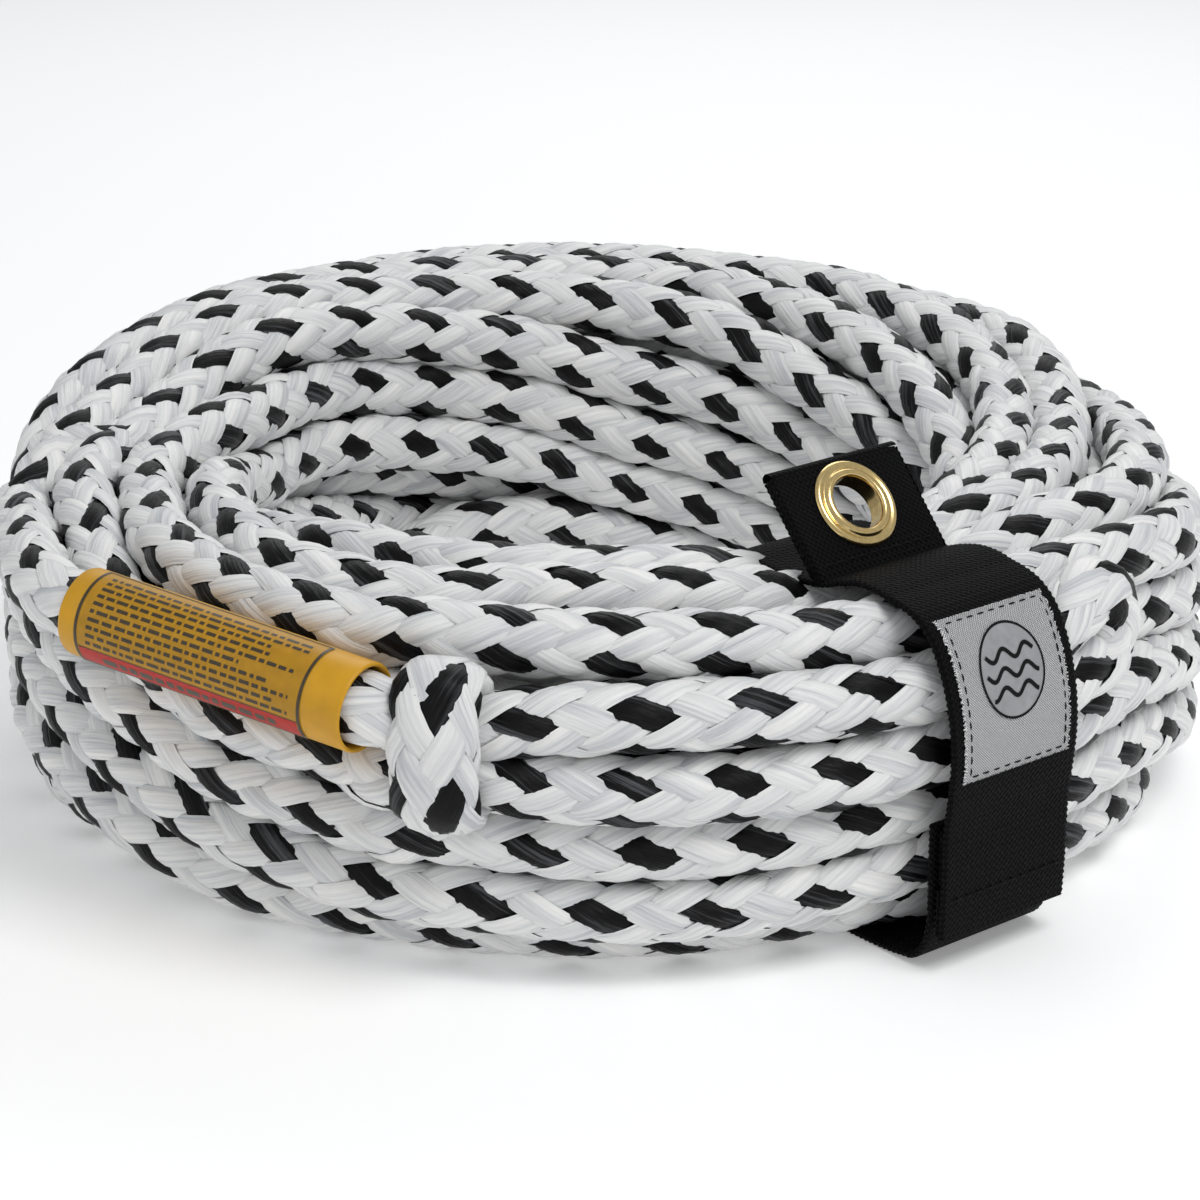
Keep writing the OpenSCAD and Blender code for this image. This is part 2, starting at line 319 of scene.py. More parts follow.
SLEEVE_A = np.array([-113.0, -108.0, 73.0])
SLEEVE_B = np.array([-49.0, -147.5, 66.0])
SLEEVE_U = (SLEEVE_B - SLEEVE_A) / np.linalg.norm(SLEEVE_B - SLEEVE_A)

LEAD = [[-78, 142, 69], [-71, 143.5, 71], [-64, 147, 72.5], [-58, 151.5, 73.5], [-52, 156, 73.8]]
UPPER_LEG = [[-10, 147.5, 61], [-4, 147.5, 63], [4, 147.5, 64], [14, 147.2, 63.8], [24, 146.4, 63.2],
             [34, 146, 63.2], [40, 146.2, 66], [44, 147.2, 71], [46.5, 147.5, 74.6]]
BIGHT = [[48.4, 147.5, 73.6], [49.6, 147.5, 70.5], [50, 147.5, 66], [49.6, 147.5, 61.5], [48.4, 147.5, 58.4]]
LOWER_LEG = [[46.5, 147.5, 57], [44, 147.5, 56], [40, 147.5, 53], [34, 147.5, 50], [24, 147.5, 47.5],
             [14, 147.5, 47], [4, 147.5, 47], [-4, 147.5, 48], [-10, 147.5, 50]]
# In through the throat, and once round the two legs
THROAT = [[-17.2, 154.3, 65.0], [-15.2, 151.2, 62.8], [-13.4, 147.6, 62.0], [-12.5, 145.2, 64.5],
          [-12.5, 145.6, 68.8], [-12.5, 148.4, 72.2], [-12.5, 152.4, 73.2], [-12.5, 156.4, 72.4],
          [-12.5, 159.0, 69.0], [-12.5, 159.6, 64], [-12.5, 159.7, 57.5], [-12.5, 159.5, 51],
          [-12.5, 158.6, 46.6], [-12.5, 156, 43.6], [-12.5, 152, 42.6], [-12.5, 148, 43.8],
          [-12.5, 145.2, 47.6], [-12.5, 144.8, 54]]
TURNBACK = [[-33.2, 120.5, 60.0], [-36.4, 123.5, 60.5], [-37.4, 127.5, 61.0], [-35.8, 131.6, 61.0],
            [-32.0, 133.2, 61.0], [-27.0, 133.6, 61.0], [-22.0, 135.5, 61.0], [-17.5, 140.5, 60.8],
            [-13.5, 145.8, 60.4]]

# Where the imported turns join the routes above: [radius, height]
LEAD_END = [142, 69]
TURNBACK_START = [[120.5, 60]] * 3
LOWER_LEG_END = [[147.3, 48.8], [146.5, 47.6], [145.6, 46.8]]

# The places of the turns in the bundle, [column, row]; each is used twice, once on each side of its middle
FIRST_WALK = [[2, 1.5], [1, 2], [0, 2.5], [0, 1.5], [0, .5], [-1, 0], [-1, -1]]
SECOND_WALK = [[2, .5], [2, -.5], [2, -1.5], [1, -2], [1, -1]]
FIRST_STEPS = (26, 10 + 120 * 13)
SECOND_STEPS = (4, 120 * 9 + 90)


def on_hank(p):
    """Points in millimetres from places on the hank."""
    p = np.asarray(p, float)
    a = np.radians(p[..., 0])
    return np.stack([p[..., 1] * np.sin(a), -p[..., 1] * np.cos(a), p[..., 2]], -1)


def ease(x):
    """0 to 1, with soft ends."""
    x = np.clip(x, 0, 1)
    return x * x * (3 - 2 * x)


def twist(f):
    """How far the whole bundle has turned over itself after part f of a turn, in degrees."""
    return 100 * ease((f - 0.05) / 0.37) + 80 * ease((f - 0.5) / 0.34)


def walk_targets(walk, first, last):
    """Wanted places in the cross-section, in columns and rows, for each step of a part of the rope."""
    steps = np.arange(first, last + 1)
    f = (steps % PER_TURN) / PER_TURN
    k = steps // PER_TURN
    n = len(walk) * 2
    place = np.array([np.array(walk[min(i, n - 1) // 2], float) * (-1) ** i for i in range(n + 2)])
    a, b = place[k], place[np.minimum(k + 1, n - 1)]
    w = ease(f)[:, None]
    s = (1 - w) * a - w * b
    # as shares of the outline
    s = s * np.array([13.0 / 30, 14.6 / 41])
    t = np.radians(twist(f))
    out = np.stack([s[:, 0] * np.cos(t) - s[:, 1] * np.sin(t), s[:, 0] * np.sin(t) + s[:, 1] * np.cos(t)], -1)
    return steps, out


def signed_phi(steps):
    """Degrees from the front at each step; the rope runs towards the left at the front."""
    p = -STEP * (steps % PER_TURN)
    return np.where(p < -180, p + 360, p)


# Height of the topmost turns' middles under the keeper, by radius
UNDER_WEB_AT = [100, 108, 128, 136, 142]
UNDER_WEB_Z = [70.4, 70.8, 74.4, 73.4, 71]
# Height of the topmost turns' middles round the hank, by angle
TOP_AT = [-180, -150, -132, -116, -102, -85, -60, 0, 60, 80, 100, 115, 130, 150, 180]
TOP_Z = [86.5, 87.5, 91, 89.5, 81, 76.5, 77, 77.5, 77, 75, 73.5, 77, 83, 85.5, 86.5]


def outline(phi):
    """Middle and half size of the room for the turns' middles at each angle."""
    keeper = ease((phi - 8) / 13) * ease((58 - phi) / 14)
    a = 26.0 + 1.6 * ease(1 - np.abs(phi - 2) / 30) - 2.0 * ease(1 - np.abs(phi + 121) / 26)
    a = a - 2.4 * ease(1 - np.abs(phi + 84) / 18) + 1.6 * ease(1 - np.abs(phi - 72) / 18)
    a = a - 2.6 * ease(1 - np.abs(phi - 103) / 18)
    r0 = np.full(np.shape(phi), RING_R)
    top = np.interp(phi, TOP_AT, TOP_Z) - keeper * 3.0
    low = LOWEST + keeper * 1.4
    return r0, a, (top + low) / 2, (top - low) / 2


def sleeve_places(phi):
    """Where the sleeve's axis crosses the half plane at angle phi, or None."""
    a, b = SLEEVE_A, SLEEVE_B
    n = np.array([cos(radians(phi)), sin(radians(phi)), 0])
    d = b - a
    t = -(a @ n) / (d @ n)
    if not -0.08 < t < 1.1:
        return None
    q = a + t * d
    return np.hypot(q[0], q[1]), q[2]


def fixed_discs():
    """Other things in each half plane: radius and height of a middle, and how near a turn may come to it."""
    sets = [[] for _ in range(PER_TURN)]

    def add(points, near):
        pts = np.array(points, float)
        for i in range(len(pts) - 1):
            p, q = pts[i], pts[i + 1]
            m = max(2, int(abs(q[0] - p[0]) / STEP * 3) + 1)
            for t in np.linspace(0, 1, m):
                v = p + (q - p) * t
                station = int(round(-v[0] / STEP)) % PER_TURN
                if not any(abs(v[1] - o[0]) + abs(v[2] - o[1]) < 2.5 for o in sets[station]):
                    sets[station].append((v[1], v[2], near))
    for route in (UPPER_LEG, LOWER_LEG, BIGHT):
        add(route, 15.2)
    # the outside of the bight
    add([[50, 147.5, 75], [55, 147.5, 71], [57, 147.5, 66], [55, 147.5, 61], [50, 147.5, 57]], 13.0)
    add(TURNBACK, 14.0)
    add(LEAD, 15.2)
    for i in range(PER_TURN):
        phi = signed_phi(np.array([i]))[0]
        q = sleeve_places(phi)
        if q is not None and -50 < phi < -14:
            sets[i].append((q[0], q[1], 18.8))
        if -18 <= phi <= -7:
            for z in (48, 54, 60, 66, 70):
                sets[i].append((146.5, z, 13.2))
            sets[i].append((152, 44.5, 13.4))
    return sets


def pack_turns():
    """Settles the turns beside each other and returns the middles [degrees, radius, height] of both parts."""
    runs = []
    for walk, (first, last) in ((FIRST_WALK, FIRST_STEPS), (SECOND_WALK, SECOND_STEPS)):
        steps, s = walk_targets(walk, first, last)
        phi = signed_phi(steps)
        r0, a, z0, b = outline(phi)
        goal = np.stack([r0 + s[:, 0] * (a + 4), z0 + s[:, 1] * (b + 4)], -1)
        runs.append([steps, phi, goal, goal.copy()])
    runs[0][3][0] = LEAD_END
    count = len(runs[0][0]) + len(runs[1][0])
    station = np.concatenate([runs[0][0] % PER_TURN, runs[1][0] % PER_TURN])
    slot = np.zeros(count, int)
    seen = np.zeros(PER_TURN, int)
    for i, m in enumerate(station):
        slot[i] = seen[m]
        seen[m] += 1
    most = seen.max()
    discs = fixed_discs()
    wide = max(len(d) for d in discs)
    fixed = np.full((PER_TURN, wide, 3), 0.0)
    fixed[:, :, 0] = 1e4
    for m, d in enumerate(discs):
        for j, v in enumerate(d):
            fixed[m, j] = v
    phi_all = np.concatenate([runs[0][1], runs[1][1]])
    r0, a, z0, b = outline(phi_all)
    pos = np.concatenate([runs[0][3], runs[1][3]])
    goal = np.concatenate([runs[0][2], runs[1][2]])
    n0 = len(runs[0][0])
    slack = 60 * (1 - ease((phi_all - 10) / 12) * ease((56 - phi_all) / 12))
    rounds = 420
    for it in range(rounds):
        near = NEAR if it > 60 else 11 + (NEAR - 11) * it / 60
        # along the rope
        lap = np.zeros_like(pos)
        for lo, hi in ((0, n0), (n0, count)):
            seg = pos[lo:hi]
            lap[lo + 1:hi - 1] = seg[:-2] + seg[2:] - 2 * seg[1:-1]
        pos += 0.22 * lap * (1 if it < rounds - 20 else 0.6)
        if it < rounds * 0.6:
            pos += 0.03 * (goal - pos) * (1 - it / (rounds * 0.6))
        grid = np.full((PER_TURN, most, 2), np.nan)
        grid[station, slot] = pos
        for _ in range(2):
            diff = grid[:, :, None, :] - grid[:, None, :, :]
            dist = np.sqrt((diff ** 2).sum(-1)) + 1e-6
            push = np.clip(near - dist, 0, None)
            push[:, np.arange(most), np.arange(most)] = 0
            push = np.nan_to_num(push)
            step = (np.nan_to_num(diff / dist[..., None]) * push[..., None]).sum(2) * 0.33
            grid += step
            df = grid[:, :, None, :] - fixed[:, None, :, :2]
            ds = np.sqrt((df ** 2).sum(-1)) + 1e-6
            pf = np.nan_to_num(np.clip(fixed[:, None, :, 2] - ds, 0, None))
            grid += (np.nan_to_num(df / ds[..., None]) * pf[..., None]).sum(2) * 0.6
        pos = grid[station, slot]
        u = (pos[:, 0] - r0) / a
        v = (pos[:, 1] - z0) / b
        reach = (np.abs(u) ** 5 + np.abs(v) ** 5) ** 0.2
        over = np.clip(reach, 1, None)
        k = 1 + (1 / over - 1) * 0.8
        pos = np.stack([r0 + u * a * k, z0 + v * b * k], -1)
        pos[:, 1] = np.clip(pos[:, 1], LOWEST, np.interp(pos[:, 0], UNDER_WEB_AT, UNDER_WEB_Z) + slack)
        pos[0] = LEAD_END
        pos[n0 - 3:n0] = TURNBACK_START
        pos[n0:n0 + 3] = LOWER_LEG_END
    first = np.column_stack([phi_all[:n0], pos[:n0]])
    second = np.column_stack([phi_all[n0:], pos[n0:]])
    return first, second


def rope_middle():
    """Points along the rope's middle, from the throat through the sleeve and the coil to the hidden end."""
    first, second = pack_turns()
    throat = on_hank(THROAT)[::-1]
    sleeve = np.array([SLEEVE_B - 1 * SLEEVE_U, SLEEVE_B - 20 * SLEEVE_U, SLEEVE_A + 38 * SLEEVE_U,
                       SLEEVE_A + 20 * SLEEVE_U, SLEEVE_A + 2 * SLEEVE_U])
    lead = on_hank(LEAD)[::-1]
    return np.concatenate([throat, sleeve, lead[:-1], on_hank(first), on_hank(TURNBACK), on_hank(UPPER_LEG),
                           on_hank(BIGHT), on_hank(LOWER_LEG), on_hank(second)])


# ---------------------------------------------------------------- the rope
CORE_R = 6.75                   # the plain inside of the rope
PITCH = 93.0                    # length in which a strand goes once round
SLANT = radians(28.4)


def arc_frames(line):
    """Direction and two steady crosswise directions at each point of a line."""
    t = units(np.gradient(line, axis=0))
    n = np.zeros_like(t)
    first = np.cross(t[0], [0, 0, 1.0])
    n[0] = first / np.linalg.norm(first)
    for i in range(1, len(t)):
        v = n[i - 1] - (n[i - 1] @ t[i]) * t[i]
        n[i] = v / np.linalg.norm(v)
    return t, n, np.cross(t, n)


class Rope:
    """The rope's middle line, with what is needed to place points on its surface."""

    def __init__(self, line, gap):
        self.line = line
        self.gap = gap
        self.t, self.n, self.b = arc_frames(line)
        self.s = np.arange(len(line)) * gap
        self.length = self.s[-1]
        # flattened where it turns round the legs of the eye
        self.flat = ease((THROAT_ARC + 4 - self.s) / 10.0)
        # a rope never lies without some turn and some stretch
        self.roll = 0.6 * np.sin(self.s / 190.0) + 0.45 * np.sin(self.s / 71.0 + 2)

    def at(self, s, angle, rho):
        """Points at distance s along, angle round and rho out from the middle."""
        x = np.clip(s / self.gap, 0, len(self.line) - 1.001)
        i = x.astype(int)
        f = (x - i)[..., None]

        def mix(a):
            return a[i] * (1 - f) + a[i + 1] * f
        t, n, b = mix(self.t), mix(self.n), mix(self.b)
        angle = angle + self.roll[i] * (1 - f[..., 0]) + self.roll[i + 1] * f[..., 0]
        out = rho[..., None] * (np.cos(angle)[..., None] * n + np.sin(angle)[..., None] * b)
        flat = mix(self.flat[:, None])
        a = radians(THROAT_PHI)
        wide = np.array([cos(a), sin(a), 0])
        wide = wide - (t @ wide)[..., None] * t
        wide = units(wide)
        part = (out * wide).sum(-1, keepdims=True) * wide
        out = out + flat * (part * 0.26 + (out - part) * -0.42)
        return mix(self.line) + out


def core_tube(rope):
    """The plain inside of the rope, closed at both ends."""
    every = 2
    sides = 8
    picks = np.arange(0, len(rope.line), every)
    if picks[-1] != len(rope.line) - 1:
        picks = np.append(picks, len(rope.line) - 1)
    s = rope.s[picks]
    angles = np.arange(sides) * 2 * pi / sides
    s_grid, angle_grid = np.meshgrid(s, angles, indexing="ij")
    ring = rope.at(s_grid, angle_grid, np.full((len(s), sides), CORE_R))
    build = Build()
    uv = np.stack(np.meshgrid(s, angles * 7, indexing="ij"), -1)[..., ::-1]
    build.add(ring, grid_faces(len(s), sides, True), uv)
    cap = []
    for row, flip in ((0, True), (len(s) - 1, False)):
        k = row * sides + np.arange(sides)
        if flip:
            k = k[::-1]
        cap += [[k[0], k[1], k[2], k[3]], [k[0], k[3], k[4], k[7]], [k[4], k[5], k[6], k[7]]]
    build.faces.append(np.array(cap))
    return build.piece("rope_core", CORE)


def float_grids(rope, s0, angle0, sign, dark, rng):
    """Grid points and UVs of the surface lengths of strand centred at s0 and angle0."""
    many = len(s0)
    rows, cols = 8, 5
    black = dark[:, None, None]
    half_len = np.where(black, 9.7, 10.5)
    half_wide = np.where(black, 3.15, 3.4)
    a = np.linspace(-1, 1, rows)[None, :, None]
    c = np.linspace(-1, 1, cols)[None, None, :]
    wide = half_wide * (1 - 0.22 * np.abs(a) ** 4) * (1 + 0.05 * rng.standard_normal((many, 1, 1)))
    along = a * half_len * (1 + 0.03 * rng.standard_normal((many, 1, 1)))
    across = c * wide
    twist = sign[:, None, None]
    ds = along * cos(SLANT) - twist * across * sin(SLANT)
    dc = twist * along * sin(SLANT) + across * cos(SLANT)
    s = s0[:, None, None] + ds
    axial = along * cos(SLANT)
    high = 7.25 + 0.92 * np.cos(2 * pi * axial / (PITCH / 4))
    high = high + 0.10 * rng.standard_normal((many, 1, 1)) - 0.16 * black
    # puffed across, with its edges lowest
    rho = high - 0.62 * c ** 2 - 0.10 * c ** 8
    angle = angle0[:, None, None] + dc / 7.6
    pts = rope.at(s, angle, rho)
    shift = rng.random((many, 2))
    u = np.broadcast_to(c * 0.4, (many, rows, cols)) + 7.0 * shift[:, 0][:, None, None]
    v = np.broadcast_to(a * 1.0, (many, rows, cols)) + 9.0 * shift[:, 1][:, None, None]
    return pts, np.stack([u, v], -1)


def braid(rope):
    """Surface of the hollow braid: sixteen strands, each over two and under two."""
    rng = np.random.default_rng(7)
    eighth = PITCH / 8
    steps = np.arange(1, int(rope.length / eighth) )
    s_all, angle_all, sign_all, dark_all = [], [], [], []
    for q in range(4):
        s_all.append(steps * eighth)
        angle_all.append(np.full(len(steps), q * pi / 2))
        sign_all.append(np.ones(len(steps)))
        dark_all.append(steps % 2 == 0)
        s_all.append((steps + 0.5) * eighth)
        angle_all.append(np.full(len(steps), q * pi / 2 + pi / 4))
        sign_all.append(-np.ones(len(steps)))
        dark_all.append(np.zeros(len(steps), bool))
    s0, angle0, sign, dark = (np.concatenate(x) for x in (s_all, angle_all, sign_all, dark_all))
    s0 = s0 + 2.6 * np.sin(s0 / 57.0 + 1)
    keep = (s0 > 3) & (s0 < rope.length - 3)
    s0, angle0, sign, dark = s0[keep], angle0[keep], sign[keep], dark[keep]
    order = np.argsort(s0, kind="stable")
    s0, angle0, sign, dark = s0[order], angle0[order], sign[order], dark[order]
    pts, uvs = float_grids(rope, s0, angle0, sign, dark, rng)
    many, rows, cols = pts.shape[:3]
    tile = grid_faces(rows, cols)
    pieces = []

    def piece(name, chosen, material):
        p = pts[chosen].reshape(-1, 3)
        uv = uvs[chosen].reshape(-1, 2)
        count = len(chosen)
        faces = tile[None] + (np.arange(count) * rows * cols)[:, None, None]
        pieces.append(make_mesh(name, p, faces.reshape(-1, 4), material, uv))
    piece("braid_black", np.nonzero(dark)[0], BLACK)
    for k, part in enumerate(np.array_split(np.nonzero(~dark)[0], 3)):
        piece("braid_white_%d" % (k + 1), part, WHITE)
    return pieces


# ---------------------------------------------------------------- the rope, made
middle = rope_middle() + np.array([0, RING_Y, 0])
line, rope_length = spline(middle, 2.0)
THROAT_ARC = spline(on_hank(THROAT[3:]), 1.0)[1]
rope = Rope(line, rope_length / (len(line) - 1))
core = core_tube(rope)
braids = braid(rope)
for piece in [core] + braids:
    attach(piece, "rope")
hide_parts("rope_coil", "rope_lead", "throat_turn", "eye_loop")


# ---------------------------------------------------------------- the keeper's webbing
def keeper(p):
    """Row-frame millimetres of [outwards, along the hank, height] in the keeper's own plane."""
    p = np.asarray(p, float)
    a = radians(WEB_FACE)
    x = p[..., 0] * sin(a) + p[..., 1] * cos(a)
    y = -p[..., 0] * cos(a) + p[..., 1] * sin(a) + RING_Y
    return np.stack([x, y, p[..., 2]], -1)


KEEPER_OUT = keeper([1, 0, 0]) - keeper([0, 0, 0])
WEB_MID = -13.0
WEB_WIDE = 38.0
WEB_THICK = 1.5
WEAVE = 1.5                     # length of one rib of the webbing
# Routes of the webbing's middle in the keeper's plane: [outwards, height]
STRAP_ROUTE = [[139.4, 81.6], [134, 83.0], [128, 83.2], [122, 81.8], [115.5, 79.6], [108, 78.7], [99, 78.5],
               [90.5, 78.7], [86, 77.6], [80, 74.8], [75.8, 70.6], [74, 65], [73.6, 58], [73.6, 28],
               [74.6, 22], [77.2, 16.2], [83, 9.6], [92, 3.6], [100, 1.4], [106, 1.0], [138, 1.0], [147.4, 2]]
FLAP_ROUTE = [[137, 82.4], [141, 81.8], [145.4, 80.3], [149.8, 76.9], [153.2, 71.5], [155.8, 65],
              [157.5, 57.5], [158, 50], [157.4, 42], [156.5, 34], [156.4, 20], [156.0, 9.2]]
HEM_ROUTE = [[156.3, 20.5], [156.4, 15], [156.2, 9.3]]
TAIL_ROUTE = [[146.6, 1.9], [148.7, 3], [151.2, 6.6], [152.4, 12], [152.4, 24], [152.3, 35]]
LABEL_ROUTE = [[147.2, 79.1], [149.8, 76.9], [153.2, 71.5], [155.8, 65], [157.5, 57.5], [158, 50],
               [157.7, 45.8]]


def flat_normals(route):
    """Crosswise direction of a route in the keeper's plane, on its right-hand side."""
    d = units(np.gradient(route, axis=0))
    return np.stack([-d[:, 1], d[:, 0]], -1)


def section_of_band(wide, thick, many=15):
    """Cross-section of a band with soft edges: [along the hank, out], and its length run round."""
    half, r = wide / 2, thick / 2
    top = [[x, r] for x in np.linspace(-half + r, half - r, many)]
    right = [[half - r + r * cos(a), r * sin(a)] for a in (pi / 4, 0, -pi / 4)]
    low = [[x, -r] for x in np.linspace(half - r, -half + r, many)]
    left = [[-half + r - r * cos(a), -r * sin(a)] for a in (pi / 4, 0, -pi / 4)]
    p = np.array(top + right + low + left)
    run = np.concatenate([[0], np.cumsum(np.linalg.norm(p[1:] - p[:-1], axis=1))])
    return p, run


def band(name, route, wide, thick, material, offset=0.0, step=0.42, rib=0.07, notch=0.16):
    """A closed band along a flat route, ribbed across, with a slightly notched selvage."""
    path, length = spline(np.array(route, float), step)
    norm = flat_normals(path)
    section, run = section_of_band(wide, thick)
    v = np.arange(len(path)) * step
    wave = np.sin(2 * pi * v / WEAVE)
    edge = np.abs(section[:, 0]) > wide / 2 - thick
    rows = []
    for i in range(len(path)):
        grow = 1 + (rib * wave[i] / (thick / 2)) * (np.abs(section[:, 1]) > 0.3 * thick)
        across = section[:, 0] + np.where(edge, np.sign(section[:, 0]) * notch * wave[i], 0)
        out = section[:, 1] * grow + offset
        u, z = path[i, 0] + norm[i, 0] * out, path[i, 1] + norm[i, 1] * out
        rows.append(np.stack([u, WEB_MID + across, z], -1))
    pts = keeper(np.array(rows))
    count = len(section)
    uv = np.stack([np.repeat(run[None], len(path), 0), np.repeat(v[:, None], count, 1)], -1)
    build = Build()
    build.add(pts, grid_faces(len(path), count, True), uv)
    for row, flip in ((0, False), (len(path) - 1, True)):
        k = row * count + np.arange(count)
        quads = []
        for j in range(count // 2 - 1):
            q = [k[j], k[j + 1], k[count - 2 - j], k[count - 1 - j]]
            quads.append(q if flip else q[::-1])
        build.faces.append(np.array(quads))
    return build.piece(name, material), length


def stitch_line(build, start, end, normal, pitch=2.9, long=2.1, thick=0.22, lift=0.12):
    """Short rounded stitches between two points, just proud of a surface."""
    start, end, normal = (np.asarray(x, float) for x in (start, end, normal))
    length = np.linalg.norm(end - start)
    d = (end - start) / length
    side = np.cross(normal, d)
    many = max(1, int(length / pitch))
    first = (length - (many - 1) * pitch) / 2
    angles = np.arange(6) * pi / 3
    for i in range(many):
        centre = start + d * (first + i * pitch)
        rows = []
        for t in (-1, -0.8, -0.3, 0.3, 0.8, 1):
            r = thick * math.sqrt(max(0.02, 1 - abs(t) ** 4))
            base = centre + d * (t * long / 2) + normal * (lift - 0.22 * t * t)
            rows.append([base + r * (cos(a) * side + sin(a) * normal) for a in angles])
        build.add(rows, grid_faces(6, 6, True))


def make_keeper():
    strap, strap_len = band("keeper_web", STRAP_ROUTE, WEB_WIDE, WEB_THICK, WEB)
    dress(strap, "rope", "webbing_black", "keeper_strap")

    flap, flap_len = band("flap_web", FLAP_ROUTE, WEB_WIDE, WEB_THICK, WEB)
    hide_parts("keeper_flap")
    metres(keeper([137.5, WEB_MID, 82.3]))
    metres(keeper([146.5, WEB_MID, 80.3]))
    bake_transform(flap)

    hem, _ = band("flap_hem_web", HEM_ROUTE, WEB_WIDE - 0.3, 1.1, WEB, offset=-1.35)
    dress(hem, "flap", "webbing_black", "flap_hem")

    tail, tail_len = band("tail_web", TAIL_ROUTE, WEB_WIDE, WEB_THICK, WEB)
    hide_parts("keeper_tail")
    metres(keeper([146.8, WEB_MID, 1.9]))
    metres(keeper([151.2, WEB_MID, 7.0]))
    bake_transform(tail)

    stitches = Build()
    start, end = (keeper([157.2, WEB_MID + along, 18]) for along in (-17.5, 17.5))
    stitch_line(stitches, start, end, KEEPER_OUT, 3.3, 2.3, 0.22)
    dress(stitches.piece("hem_thread", THREAD), "flap", "thread_black", "hem_stitching")


def pile_patch(name, low, high, x, out_sign, body, replaced, tall):
    """Hook or loop tape: a thin sheet with a rough pile."""
    rng = np.random.default_rng(len(name))
    rows, cols = 60, 150
    z = np.linspace(low, high, rows)
    t = np.linspace(WEB_MID - 17, WEB_MID + 17, cols)
    zz, tt = np.meshgrid(z, t, indexing="ij")
    bumps = tall * rng.random(zz.shape)
    bumps[0] = bumps[-1] = 0
    bumps[:, 0] = bumps[:, -1] = 0
    front = np.stack([x + out_sign * (0.25 + bumps), tt, zz], -1)
    build = Build()
    faces = grid_faces(rows, cols)
    build.add(keeper(front), faces if out_sign < 0 else faces[:, ::-1])
    back = np.stack([np.full(zz.shape, float(x)), tt, zz], -1)
    build.add(keeper(back), faces[:, ::-1] if out_sign < 0 else faces)
    dress(build.piece(name, PILE, False), body, "hook_loop_black", replaced)


def tape_stitches(name, x, sign, body, replaced):
    """The two seams that hold a tape, along its upper and lower edges."""
    build = Build()
    for z in (21.6, 32.4):
        stitch_line(build, keeper([x, WEB_MID - 16, z]), keeper([x, WEB_MID + 16, z]), sign * KEEPER_OUT,
                    3.3, 2.2, 0.18)
    dress(build.piece(name, THREAD), body, "thread_black", replaced)


def make_tapes():
    pile_patch("hook_tape", 20.6, 33.4, 153.15, 1, "tail", "hook_patch", 0.4)
    pile_patch("loop_tape", 20.4, 33.6, 155.6, -1, "flap", "loop_patch", 0.35)
    tape_stitches("hook_thread", 153.6, 1, "tail", "hook_stitching")
    tape_stitches("loop_thread", 155.15, -1, "flap", "loop_stitching")


# ---------------------------------------------------------------- the tab and its grommet
TAB_BASE = [113.6, 81.4]
TAB_LEAN = 42.0
TAB_LONG = 25.0
GROMMET_UP = 12.6
HOLE_R = 6.35


def tab_place(p):
    """Row-frame millimetres of [across the tab, up it, out of its face]."""
    p = np.asarray(p, float)
    a = radians(TAB_LEAN)
    u = TAB_BASE[0] - p[..., 1] * sin(a) + p[..., 2] * cos(a)
    z = TAB_BASE[1] + p[..., 1] * cos(a) + p[..., 2] * sin(a)
    return keeper(np.stack([u, WEB_MID + p[..., 0], z], -1))


def tab_face(side, radius):
    """One layer of the tab: a webbing sheet with a round hole, as rays from the hole to the edge."""
    half = WEB_WIDE / 2
    low, high = -2.4, TAB_LONG - 1.5
    rings = 46
    angles = np.linspace(0, 2 * pi, 145)[:-1]
    far = []
    for a in angles:
        dx, dy = cos(a), sin(a)
        reach = []
        if abs(dx) > 1e-9:
            reach.append((half if dx > 0 else -half) / dx)
        if abs(dy) > 1e-9:
            reach.append(((high if dy > 0 else low) - GROMMET_UP) / dy)
        far.append(min(reach))
    far = np.array(far)
    k = np.linspace(0, 1, rings)[:, None]
    r = radius + k * (far[None] - radius)
    x = r * np.cos(angles)
    y = GROMMET_UP + r * np.sin(angles)
    wave = np.sin(2 * pi * y / WEAVE)
    z = side * (1.45 + 0.07 * wave)
    edge = np.clip(np.abs(x) - (half - 0.5), 0, None)
    z = z - side * edge * 0.9
    x = x + np.sign(x) * 0.16 * wave * (np.abs(x) > half - 0.6)
    return np.stack([x, y, z], -1), np.stack([x, y], -1)


